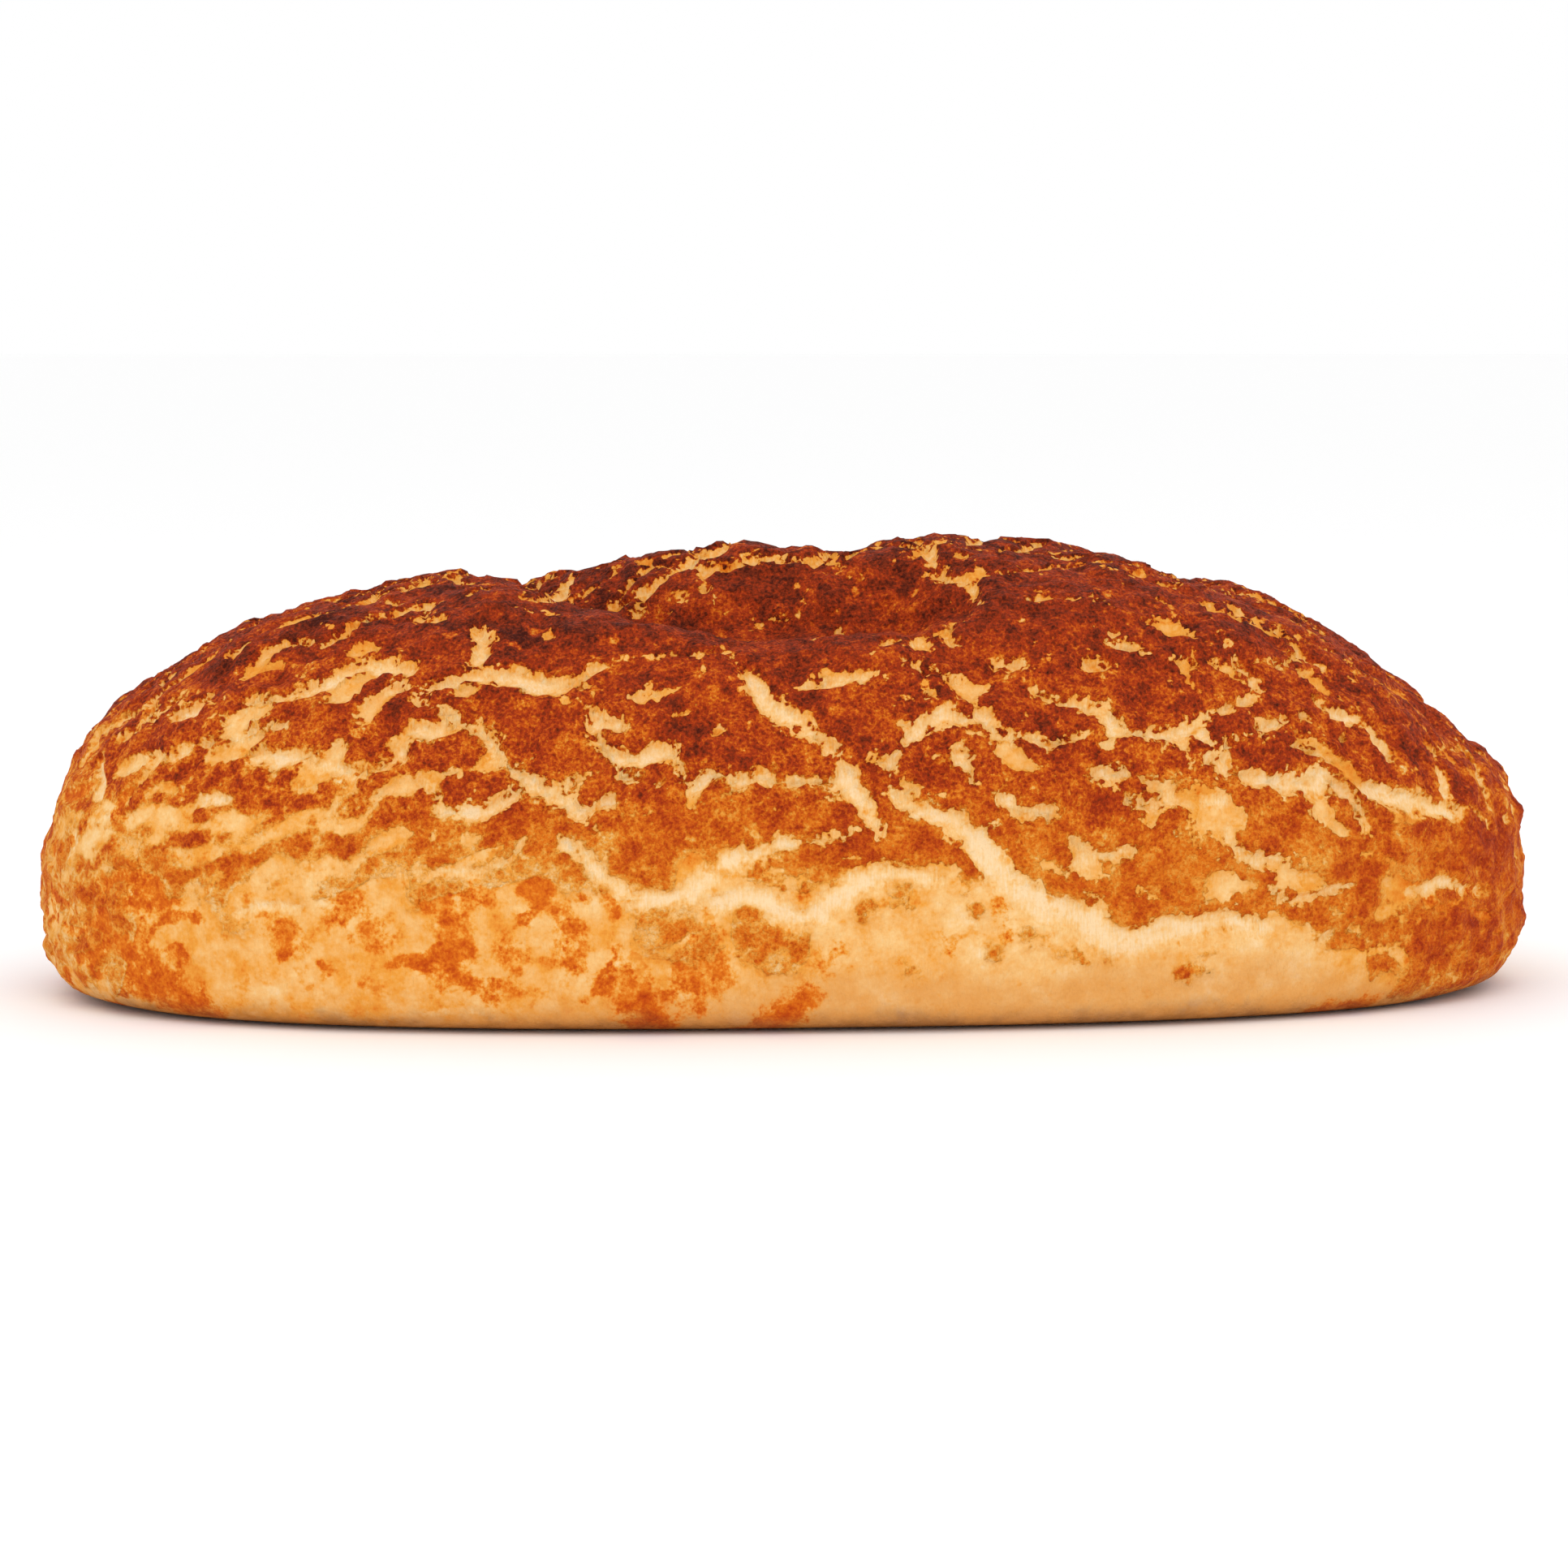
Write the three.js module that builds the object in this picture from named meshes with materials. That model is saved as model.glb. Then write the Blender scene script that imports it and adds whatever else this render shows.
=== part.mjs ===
// A tiger bread loaf: one baked piece, an oval bloomer with a flat base, a domed top and three diagonal
// slashes that opened in the oven.
//
// Frame: millimetres, +Z up. X runs along the loaf, -Y is the front, and the origin is at the middle of
// the base, on the surface that the loaf stands on.
//
// The skin starts as a box whose faces are divided into a grid. Each grid point is sent out from the
// middle of the box onto a superquadric whose dome leans to one side. The shaping steps that follow bend
// the plan, cut the belly off flat at the base, and press in the slashes.

import * as THREE from "three";
import { mergeVertices } from "three/addons/utils/BufferGeometryUtils.js";

// ---- Driving dimensions ----
const LENGTH = 300; // overall, along X
const WIDTH = 135; // overall, along Y
const HEIGHT = 91; // overall, from the base to the crown

const WAIST = { left: 24, right: 31 }; // the level at which the loaf is widest, at its two ends
const BELLY_REACH = 1.24; // depth of the belly below the waist before the base cuts it, in waist heights
const PLAN_POWER = 2.6; // squareness of the outline seen from above
const DOME_POWER = 2.15; // squareness of the side view above the waist
const BELLY_POWER = 6; // squareness of the side view below the waist
const BASE_BLEND = 4; // height over which the side rounds into the flat base

const CELLS_ALONG = 48; // divisions of the skin's grid in X, Y and Z
const CELLS_ACROSS = 20;
const CELLS_UP = 16;

// The crown leans: it is highest right of the middle, and the right end falls away sooner.
const LEFT_DIP = { at: -32, reach: 52, share: 0.085 };
const RIGHT_FALL = { from: 86, to: 150, share: 0.29 };
const PLAN_BEND = 5; // the two ends curve towards +Y by this much

// Slashes, as routes seen from above. Each is a soft valley whose lips stand a little proud, and it dies
// out over the lengths in fades at the start and the end of its route.
const SLASHES = [
  {
    route: [[-66, 46], [-57, 18], [-45, -8], [-24, -25], [6, -31], [36, -34]],
    fades: [100, 18],
    depth: 9.5,
    reach: 16,
    lip: 1.6,
  },
  {
    route: [[14, 44], [10, 20], [9, 0], [15, -20]],
    fades: [18, 18],
    depth: 3.4,
    reach: 13,
    lip: 0.6,
  },
  {
    route: [[84, 36], [80, 14], [87, -8], [106, -22]],
    fades: [18, 18],
    depth: 3,
    reach: 14,
    lip: 0.6,
  },
];
const SLASH_FLOOR_LEVEL = 40; // slashes work only above this height, at full depth from the next one up
const SLASH_FULL_LEVEL = 66;
const ROUTE_STEPS = 60; // straight steps that stand for each smooth route

// ---- Small helpers ----
const smooth = (from, to, value) => THREE.MathUtils.smoothstep(value, from, to);

// Zero far below 0, the value itself far above 0, and a parabola between, so the join has no edge.
function softFloor(value, blend) {
  if (value <= -blend) return 0;
  if (value >= blend) return value;
  return (value + blend) ** 2 / (4 * blend);
}

// ---- Shaping steps ----
// How high the dome stands at this place along the loaf, as a share of its full height.
function domeShare(x) {
  const dip = Math.exp(-(((x - LEFT_DIP.at) / LEFT_DIP.reach) ** 2));
  return 1 - LEFT_DIP.share * dip - RIGHT_FALL.share * smooth(RIGHT_FALL.from, RIGHT_FALL.to, x);
}

// A direction from the loaf's middle, as a point on the superquadric. Below the waist it runs on past the
// base, to be cut off by the flat floor.
function onSuperquadric(direction) {
  const power = direction.z >= 0 ? DOME_POWER : BELLY_POWER;
  const plan = (
    Math.abs(direction.x) ** PLAN_POWER +
    Math.abs(direction.y) ** PLAN_POWER
  ) ** (1 / PLAN_POWER);
  const size = (plan ** power + Math.abs(direction.z) ** power) ** (-1 / power);
  const x = (direction.x * size * LENGTH) / 2;
  const y = (direction.y * size * WIDTH) / 2;
  const level = direction.z * size;
  const waist = THREE.MathUtils.mapLinear(x, -LENGTH / 2, LENGTH / 2, WAIST.left, WAIST.right);
  const rise = level >= 0 ? domeShare(x) * (HEIGHT - waist) : BELLY_REACH * waist;
  return new THREE.Vector3(x, y, waist + level * rise);
}

// The slash's smooth route as a list of plan points, each with its share of the full depth.
function slashRoute({ route, fades }) {
  const curve = new THREE.CatmullRomCurve3(route.map(([x, y]) => new THREE.Vector3(x, y, 0)));
  const length = curve.getLength();
  return curve.getSpacedPoints(ROUTE_STEPS).map((point, i) => {
    const along = (i / ROUTE_STEPS) * length;
    const share = smooth(0, fades[0], along) * smooth(0, fades[1], length - along);
    return { point, share };
  });
}

// The change of height that a slash makes at a plan point: down in the valley, up a little at its lips.
function slashChange(slash, x, y) {
  let nearest = Infinity;
  let share = 0;
  for (const step of slash.steps) {
    const distance = Math.hypot(step.point.x - x, step.point.y - y);
    if (distance < nearest) {
      nearest = distance;
      share = step.share;
    }
  }
  const valley = Math.exp(-((nearest / slash.reach) ** 2) * 2);
  const lip = Math.exp(-(((nearest - slash.reach * 1.3) / (slash.reach * 0.6)) ** 2));
  return share * (slash.lip * lip - slash.depth * valley);
}

function cutSlashes(point, slashes) {
  const level = smooth(SLASH_FLOOR_LEVEL, SLASH_FULL_LEVEL, point.z);
  if (level === 0) return;
  for (const slash of slashes) point.z += level * slashChange(slash, point.x, point.y);
}

// ---- The loaf ----
function loafGeometry() {
  const box = new THREE.BoxGeometry(2, 2, 2, CELLS_ALONG, CELLS_ACROSS, CELLS_UP);
  box.deleteAttribute("normal");
  box.deleteAttribute("uv");
  const skin = mergeVertices(box, 1e-5);
  const slashes = SLASHES.map((slash) => ({ ...slash, steps: slashRoute(slash) }));
  const points = skin.getAttribute("position");
  const point = new THREE.Vector3();
  const spread = (side) => Math.tan((side * Math.PI) / 4); // evens out the cells on the round skin
  for (let i = 0; i < points.count; i++) {
    point.fromBufferAttribute(points, i);
    point.set(spread(point.x), spread(point.y), spread(point.z));
    point.copy(onSuperquadric(point));
    point.y += PLAN_BEND * (point.x / (LENGTH / 2)) ** 2;
    point.z = softFloor(point.z, BASE_BLEND);
    cutSlashes(point, slashes);
    points.setXYZ(i, point.x, point.y, point.z);
  }
  skin.computeBoundingBox();
  const { min, max } = skin.boundingBox;
  skin.translate(-(min.x + max.x) / 2, -(min.y + max.y) / 2, 0);
  skin.scale(LENGTH / (max.x - min.x), WIDTH / (max.y - min.y), HEIGHT / max.z);
  skin.computeVertexNormals();
  return skin;
}

const crust = new THREE.MeshStandardMaterial({ color: 0xb4672c, roughness: 0.8, metalness: 0 });
const loaf = new THREE.Mesh(loafGeometry(), crust);
loaf.name = "tiger_bread_loaf";

const tigerBread = new THREE.Group();
tigerBread.add(loaf);

export default tigerBread;
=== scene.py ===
"""A tiger bread loaf: a fine skin over the plain loaf, its rice-paste crust torn into plates over pale dough.

Places on the loaf are given as (x, angle): x is along the loaf in millimetres, and angle goes round it in
degrees, from 0 at the front, level with the loaf's long axis, over 90 at the crown to 180 at the back.
Along the loaf, rules are written for the front, and the back has them turned half round.
"""

import math

import bpy
import numpy as np
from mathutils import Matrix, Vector, noise
from mathutils.bvhtree import BVHTree


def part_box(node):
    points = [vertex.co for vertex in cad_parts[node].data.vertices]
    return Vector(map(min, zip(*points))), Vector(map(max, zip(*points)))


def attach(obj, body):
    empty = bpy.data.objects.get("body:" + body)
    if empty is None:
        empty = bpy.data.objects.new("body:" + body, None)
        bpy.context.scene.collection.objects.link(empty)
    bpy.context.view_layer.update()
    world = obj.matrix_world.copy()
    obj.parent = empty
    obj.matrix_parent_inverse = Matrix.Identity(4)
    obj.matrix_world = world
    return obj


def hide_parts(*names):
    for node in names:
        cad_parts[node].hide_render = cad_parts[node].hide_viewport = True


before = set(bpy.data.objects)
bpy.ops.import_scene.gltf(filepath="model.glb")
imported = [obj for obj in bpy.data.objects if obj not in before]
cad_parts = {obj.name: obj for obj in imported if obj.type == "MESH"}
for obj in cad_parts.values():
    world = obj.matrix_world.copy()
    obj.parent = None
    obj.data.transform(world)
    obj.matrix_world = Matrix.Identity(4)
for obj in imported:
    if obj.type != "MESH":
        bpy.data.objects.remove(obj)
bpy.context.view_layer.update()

MM = 0.001
TO_MM = (1000, 1000, 1000)
LOAF = "tiger_bread_loaf"

# The skin, in millimetres: its grid is cast onto the loaf from a level axis inside.
AXIS_HEIGHT = 29
AXIS_REACH = 95
SKIN_CELLS = (224, 96, 80)
SMOOTHING_ROUNDS = 30
SMOOTHING_SHARE = 0.5
ARC_PER_DEGREE = 1.15  # how far round the loaf's side one degree goes

# Routes drawn on the skin, in millimetres: the step along them, and how far off is as good as away.
ROUTE_STEP = 3
FAR = 40
NEARBY = FAR / 3
FIELD_REACH = 12  # the skin's distance fields stop there

# The torn edges, in millimetres. The cracks' own edges are ragged by a share of what the crust's are.
TEAR_DEPTH = 7.5
FRAY_DEPTH = 2.6
CRACK_RAGS = 0.55

# The crust's relief: how far each of its features stands up or sinks, in millimetres.
RELIEF = {
    "Plate Height": 1.05,
    "Lip Height": 0.4,
    "Dough Skin": 0.5,
    "Blister Height": 4.5,
    "Pebble Height": 2.0,
}
THIN_PLATE_SHARE = 0.35  # how much of their height the plates keep where the crust is thin
LOW_PLATE_SHARE = 0.4  # and how much they keep low on the sides

# The heights between which the crust goes from the thin, calm crust of the sides to the crown's.
LOW_PLATES = (28, 52)
CALM_CRUST = (28, 56)

# The grains that the relief and the colours share: feature size in millimetres, seed, detail, roughness.
GRAINS = {
    "rip": (3.7, 1.0, 2, 0.6),
    "fray": (1.1, 2.0, 3, 0.6),
    "blister": (7.5, 3.0, 1, 0.5),
    "pebble": (2.8, 4.0, 2, 0.5),
    "blotch": (11.0, 5.0, 2, 0.5),
    "mottle": (2.6, 6.0, 3, 0.6),
    "speckle": (0.7, 7.0, 2, 0.6),
    "fleck": (4.5, 8.0, 4, 0.62),
    "strand": (1.0, 9.0, 2, 0.5),
    "cloud": (6.5, 10.0, 3, 0.6),
    "crumb": (0.5, 11.0, 3, 0.7),
    "pore": (1.3, 12.0, 2, 0.5),
    "stain": (3.4, 13.0, 3, 0.65),
    "patch": (5.0, 14.0, 2, 0.6),
}
STRAND_SQUEEZE = (2.2, 2.2, 0.4)
SPECK_SPACING = 21

# The baked surface: nearly matt, the crust a little less so than the dough.
DOUGH_ROUGHNESS = 0.82
CRUST_ROUGHNESS = 0.70
LOAF_SPECULAR = 0.07
BUMP_STRENGTH = 0.8

# Where the crust ends on the flank: (x, angle) of its lower edge, from the left end to the right.
CRUST_FLOOR = [
    (-150, -150), (-138, -50), (-128, -14), (-118, -4), (-100, -1), (-75, -1), (-55, 0), (-45, 1), (-25, -2),
    (-15, 2), (0, 2), (15, 3), (28, 2), (38, -1), (50, -5), (62, -9), (90, -8), (105, -16), (118, -34),
    (130, -75), (150, -150),
]

# Torn cracks and bare pockets in the crust: (x, angle, width) along each one's middle.
CRACKS = [
    # The long diagonal of the middle, and the branches off it.
    [(-15.5, 41, 2), (-12, 37.5, 3), (-9.5, 33, 4), (-7, 29.5, 4.5), (-3, 27, 4), (0.5, 25, 3),
     (3, 22.5, 2.5), (5, 20, 3), (6, 17, 5), (8, 14.5, 3.5), (10.5, 12, 2.5), (13.5, 7.5, 1.2)],
    [(5, 16, 2.5), (0.5, 16, 2), (-5, 17, 2), (-7, 15.5, 2), (-9.5, 18, 2), (-14, 16.5, 2), (-20, 18, 2),
     (-23, 15.5, 2), (-25, 19.5, 2)],
    [(-41.5, 25.5, 2), (-38.5, 22.5, 3), (-35.5, 20.5, 3), (-31, 21, 3), (-28.5, 22.5, 5), (-26.5, 22, 4)],
    [(-43.5, 35, 1.2), (-41.5, 30, 1.2), (-40, 27.5, 4), (-37, 27, 4)],
    [(-36, 18, 2), (-33, 18, 2)],
    # The wide tear high on the left, and the pocket above it.
    [(-79, 38, 2.5), (-72, 37.5, 2), (-66, 38, 2), (-60, 39, 4.3), (-55, 37, 5), (-50, 35.5, 5),
     (-45, 35.5, 2.5), (-41, 38.5, 1.5), (-33, 41, 1.2), (-25, 41, 1.2), (-16, 41.5, 1.2)],
    [(-62.5, 43, 4), (-62.5, 50, 3)],
    # The diagonal of the left half.
    [(-74.5, 34.5, 2), (-69.5, 32, 2), (-64.5, 28.5, 2), (-60, 24.5, 2.3), (-57.5, 20, 2.5),
     (-53.5, 17.5, 3.5), (-48.5, 15, 4), (-44, 12.5, 3.5), (-42, 12, 2.5), (-39.5, 14, 2), (-36.5, 13, 1.5)],
    [(-55.5, 15.5, 2), (-58.5, 13.5, 2), (-62, 12.5, 3.5), (-66, 12.5, 4.5), (-70, 13, 2)],
    [(-74, 28, 4.5), (-70, 28, 4.5)],
    [(-75, 19, 1.8), (-70, 15.5, 1.8)],
    [(-79, 1.5, 1.5), (-70, 2, 1.5), (-62, 2, 1.5), (-57.5, 4, 1.5), (-55, 7, 1.5)],
    # The tears along the foot of the crust.
    [(-46.5, 6.5, 3), (-42.5, 4.5, 3), (-40.5, 2, 3), (-35.5, -1, 3), (-31, -2, 3)],
    [(-34, -3.5, 3), (-29.5, -2.5, 3.5), (-23.5, -1.5, 4), (-20, 1.5, 4.5), (-14, 4.5, 4.5), (-8.5, 5.5, 3.5),
     (-2.5, 7, 2.5), (1, 7.5, 1.5), (6.5, 8, 1.2)],
    [(-18, -3, 4), (-12, -2, 4.5), (-6, -4.5, 5), (-2.5, -6, 4), (0.5, -4.5, 4.5), (4.5, -2, 5),
     (9, 0.5, 4.5), (14.5, 2, 3.5), (18, 1.5, 3), (23, 0.5, 3)],
    [(15, 15.5, 2.5), (17.5, 13, 3), (20.5, 11, 4), (25, 11, 4), (27.5, 9, 5), (31, 6.5, 6), (33.5, 3.5, 7),
     (36.5, 0.5, 7), (40, -2.5, 6), (45, -4, 6), (50, -6, 6), (54, -7.5, 6.5), (58.5, -11, 7),
     (65.5, -9.5, 6), (72.5, -8.5, 5), (80, -8, 4), (88, -10, 3)],
    # The right half, above its foot.
    [(-3, 33.5, 0.8), (2.5, 34, 2.5), (7.5, 35, 2.8), (11, 34.5, 2.5), (14.5, 34.5, 1)],
    [(18.5, 38, 2), (23.5, 35.5, 2), (29.5, 35, 1.5)],
    [(14.5, 19, 2.5), (16, 21, 2.5), (19, 24, 2.5), (23.5, 27, 3), (25.5, 29, 3), (29.5, 27, 2.5),
     (32.5, 28.5, 3), (34.5, 25, 2.5), (37, 23.5, 2.5), (40.5, 24.5, 2.5), (43.5, 23, 2.5), (46, 22.5, 2.5),
     (48.5, 24, 1.5), (55, 25, 1.5), (60, 25.5, 2), (67.5, 25, 2), (72, 26, 2), (77, 30, 2),
     (85.5, 34.5, 1.5)],
    [(36.5, 38, 3), (40.5, 38, 3)],
    [(26, 42.5, 1.5), (30, 42.5, 1.5)],
    [(15, 42, 2), (24, 42, 2)],
    [(52, 38.5, 1.5), (58, 38.5, 1.5)],
    [(46, 31, 2), (54, 30, 2.5), (57, 27.5, 4.5)],
    [(54, 18, 3), (59, 18, 3)],
    [(28, 21, 2.5), (30, 17, 2.5)],
    [(36, 14, 2), (41.5, 11, 2), (44.5, 11, 2)],
    [(59, 42.5, 2.5), (63, 42.5, 2.5)],
    [(80, 24, 2), (85, 27, 2), (90, 29, 2), (93, 31, 2), (96.5, 32.5, 1.5)],
    [(103, 34, 3.5), (108, 35, 3.5)],
    [(76, 21.5, 3.5), (79, 21.5, 3.5)],
    [(68, 23.5, 2), (71, 23.5, 2)],
    [(60, 13.5, 2), (63.5, 12, 2), (69, 14, 2)],
    [(75, 13.5, 2.5), (79, 13.5, 2.5)],
    [(75, 26, 3), (78, 22, 3), (80.5, 18.5, 3), (90, 17.5, 3), (99, 17, 3.5)],
    [(90, 18.5, 3), (99, 20, 3), (105.5, 15, 3), (108, 10, 2.5)],
    [(109.5, 17, 4), (117, 15.5, 5), (129, 13, 3)],
    [(80, 7, 3), (83.5, 2.5, 3), (90, 3, 2)],
    [(47.5, 1, 2.5), (51, 3.5, 2.5), (61, 5, 2)],
    [(88.5, -3, 1.5), (92, -5.5, 1.5), (105, -3, 1.5)],
    [(118, -6, 2.5), (126.5, -5.5, 2.5), (134, -11, 2)],
    [(94, 57, 2), (98, 52, 2), (103, 48, 1.5)],
    [(126, 25, 2), (127, 18, 2)],
    [(82, 45, 2), (88, 38, 2.5)],
    [(111, 33, 2.5), (114, 25, 2.5)],
    [(72, 67, 2), (75, 65, 1.5)],
    # The left half, towards its end.
    [(-122, 30.5, 2), (-118, 32.5, 2), (-110.5, 31.5, 2), (-105.5, 33, 2), (-100, 33, 1.5)],
    [(-105.5, 26, 3.5), (-100, 25.5, 3.5), (-95, 24.5, 3), (-90, 21.5, 2.5), (-85, 20, 2), (-80.5, 20.5, 2),
     (-77.5, 24, 3)],
    [(-115, 17.5, 3), (-111, 17.5, 3)],
    [(-106.5, 40, 2.5), (-100.5, 39.5, 2.5), (-95.5, 40.5, 2.5), (-90, 43, 3), (-85.5, 45, 4), (-80, 44, 4.5),
     (-76, 42, 3)],
    [(-102, 56, 3), (-99.5, 58, 2), (-91.5, 54, 2), (-89, 56, 2), (-82, 62, 2.5), (-75, 64, 2.5)],
    [(-72.5, 61, 1.5), (-72, 65, 1.5)],
    [(-121, 44, 4), (-116, 45, 4)],
    [(-128.5, 59, 3), (-126, 64, 3)],
    [(-137, 22, 2.5), (-136, 32, 3), (-137, 44, 2.5)],
    [(-142.5, 6, 2), (-142, 17, 2)],
    [(-109.5, -8.5, 1.5), (-106.5, -5.5, 1.5), (-97, -5, 1.5)],
    # The crown, and the bare dough in the deep cut.
    [(-50, 62, 3), (-46, 68, 4.5), (-44, 75, 3)],
    [(-50, 82, 4), (-47, 90, 5), (-44, 97, 3)],
    [(6, 53, 1.5), (8, 60, 2)],
    [(8, 72, 0.8), (13, 80, 1.6), (18, 85, 2.4), (22, 90, 1.8), (32, 96, 1.4), (38, 104, 1.8)],
    [(22, 90, 1.4), (27, 75, 1.8), (27, 66, 2.5), (33, 61, 2.5), (34, 53, 2)],
    [(33, 61, 1.6), (44, 64, 1.4), (56, 72, 1.8), (70, 74, 1.2), (84, 86, 1.8)],
    [(-44, 75, 1.6), (-34, 80, 1), (-20, 92, 1.6), (-6, 98, 1.2)],
    [(-75, 64, 1.4), (-84, 76, 1.6), (-82, 90, 1.2), (-96, 102, 1.8)],
    [(44, 53, 1.2), (52, 53, 1.2)],
]

# Islands of crust on the bare dough below the crust's foot: (x, angle, width).
ISLANDS = [
    [(-2.5, 2.5, 8), (4.5, 3.5, 8)],
    [(14, 6, 7), (22, 5.5, 7)],
    [(14, 12, 4)],
    [(-11, -8, 10), (-5, -10, 10)],
    [(-30, -7, 9), (-23, -9, 9.5)],
    [(9.5, -4, 3.5)],
    [(15.5, 0, 4), (18, -4, 3.5)],
    [(28, 0, 3.2), (31, -4, 2.6)],
    [(34, -11, 4)],
    [(41, -9, 4)],
    [(48.5, -12, 3.4), (55, -12.5, 3.4)],
    [(18, -14, 3.2)],
    [(72, -16, 4.5), (77, -15, 3)],
    [(-126, 12, 4), (-123, 16, 4)],
    [(-113, -3, 7), (-109, -8, 7)],
    [(-83, 12, 7)],
]

# Browned blotches of the bare dough: (x, angle, width), and how strong each one is.
BLUSHES = [
    ([(-68, -7, 7), (-67, -12, 7)], 0.7),
    ([(-57, -11, 6)], 0.6),
    ([(-47, -5, 6), (-45, -12, 6)], 0.7),
    ([(-70, -2, 4), (-62, -2, 4)], 0.7),
    ([(-35, 1, 4), (-22, -7, 5)], 0.5),
    ([(-90, -3, 9), (-82, -9, 7)], 0.6),
    ([(-98, -12, 8), (-106, -5, 6)], 0.5),
    ([(-124, -2, 12), (-136, -12, 12)], 0.7),
    ([(-62, -18, 4), (-54, -17, 3)], 0.5),
    ([(-34, -17, 6), (-30, -27, 10)], 1.0),
    ([(-12, -27, 10), (-1, -18, 4)], 1.0),
    ([(-140, -22, 15), (-114, -32, 9)], 0.75),
    ([(99, -29, 5), (108, -31, 6)], 1.0),
    ([(126, -20, 14), (140, -8, 14)], 0.8),
    ([(34, -1, 3), (38, -8, 4)], 0.5),
    ([(5, -10, 4), (2, -13, 4)], 0.5),
    ([(26, -9, 4)], 0.5),
]

# The fold where the deepest cut closes up against the near lobe: (x, angle, width).
FOLD = [(-66, 132, 1), (-57, 109, 1), (-45, 81, 2), (-24, 63, 2), (6, 57, 2), (30, 55, 1)]
FOLD_REACH = 5
FOLD_DEPTH = 2.6
SWELL_SIZE = 19
SWELL_HEIGHT = 1.6

# Scorched ridges of the crust, the first also painted shade by the fold: (x, angle, width).
SCORCHES_AND_CREST_SHADE = [
    [(-72, 54, 5), (-56, 51, 7), (-40, 50, 8), (-20, 48.5, 8), (0, 48, 8), (14, 48, 6)],
    [(-50, 78, 8), (-30, 84, 8), (-10, 86, 8), (6, 80, 6)],
    [(20, 78, 8), (45, 84, 8), (70, 80, 6)],
    [(-110, 58, 6), (-90, 62, 8), (-70, 68, 8)],
]

# Where the crust breaks up into streaks: x along the loaf, and how little it does so there.
STREAK_COVER = [
    (-150, 0.14), (-85, 0.10), (-55, 0.55), (0, 0.45), (60, 0.36), (98, 0.24), (130, 0.40), (150, 0.6),
]
STREAK_CROWN = 0.15
STREAK_RISE = 25
STREAK_SIZE = np.array([10.5, 3.4, 6])
STREAK_BEND = 4
STREAK_EDGE = 5.5

# The plates that fill in between the drawn cracks, in millimetres: each one's room, and its bent seams.
PLATE_STRETCH = np.array([0.62, 1, 1])
PLATE_ROOM = (8, 19)
PLATE_TRIES = 4000
PLATE_SEED = 7
SEAM_BEND = 3.5
SEAM_BEND_SIZE = 11
SEAM_CHUNKS = 40

# How the back's cracks differ from the front's: the squeeze, shift and wave along the loaf and round it.
BACK_SQUEEZE = (0.97, 1.03)
BACK_SHIFT = (6, 2.5)
BACK_WAVE = (31, 23)

# How toasted things are, from 0 for raw cream to 1 for the darkest crust: the crust by height, and the
# dough's skin by x. Below the tan line, (x, angle), the dough is tan.
CRUST_TOAST = [
    (0, 0.42), (29, 0.47), (41, 0.54), (51, 0.62), (61, 0.67), (70, 0.71), (77, 0.75), (86, 0.79),
]
DOUGH_TOAST = [(-150, 0.24), (-60, 0.22), (-25, 0.21), (20, 0.16), (90, 0.17), (120, 0.28), (150, 0.38)]
TAN_LINE = [
    (-150, -80), (-125, -30), (-60, -20), (-25, -17), (0, -13), (90, -13), (120, -26), (150, -90),
]
TOAST_COLOURS = [
    (0.00, (243, 211, 164)),
    (0.12, (239, 192, 125)),
    (0.28, (232, 157, 62)),
    (0.42, (220, 118, 26)),
    (0.54, (196, 82, 16)),
    (0.67, (164, 52, 15)),
    (0.84, (116, 40, 15)),
    (1.00, (70, 22, 11)),
]
TAN = (222, 158, 86)
# The sole's colours; they also darken the foot line, partly as painted shade.
SOLE_LIGHT = (188, 122, 62)
SOLE_DARK = (140, 78, 34)
CHAR = (60, 30, 16)

# The stage.
CAMERA_AZIMUTH = -4
CAMERA_ELEVATION = 6
CAMERA_DISTANCE = 0.884
CAMERA_LENS = 100
CAMERA_AIM = Vector((-1, 0, 41)) * MM
FLOOR_SIZE = 40
FLOOR_WHITE = 0.985
FLOOR_ROUGHNESS = 0.9
FLOOR_SPECULAR = 0.1
SOFTBOX_PLACE = Vector((-0.05, -0.8, 1.0))
SOFTBOX_SIZE = 1.6
SOFTBOX_WATTS = 4.8
STUDIO_LIGHT = 1.0


# ---------------------------------------------------------------- the skin


def box_quads(counts):
    """The surface of a box of cells: its lattice points, and quads that face outwards."""
    sides = []
    for axis in range(3):
        u, v = (axis + 1) % 3, (axis + 2) % 3
        i, j = np.meshgrid(np.arange(counts[u]), np.arange(counts[v]), indexing="ij")
        for end in (0, counts[axis]):
            order = ((0, 0), (1, 0), (1, 1), (0, 1)) if end else ((0, 0), (0, 1), (1, 1), (1, 0))
            corners = np.empty(i.shape + (4, 3), int)
            corners[..., axis] = end
            for corner, (du, dv) in enumerate(order):
                corners[..., corner, u] = i + du
                corners[..., corner, v] = j + dv
            sides.append(corners.reshape(-1, 3))
    lattice, quads = np.unique(np.concatenate(sides), axis=0, return_inverse=True)
    return lattice, quads.reshape(-1, 4)


def cast(tree, start, towards):
    """Where the ray from start towards a point leaves the loaf."""
    hit = tree.ray_cast(Vector(start), Vector(towards) - Vector(start))[0]
    return hit or tree.find_nearest(Vector(towards))[0]


def loaf_tree():
    """The CAD loaf as a search tree, in millimetres."""
    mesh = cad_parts[LOAF].data
    corners = [vertex.co / MM for vertex in mesh.vertices]
    return BVHTree.FromPolygons(corners, [face.vertices for face in mesh.polygons])


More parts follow.
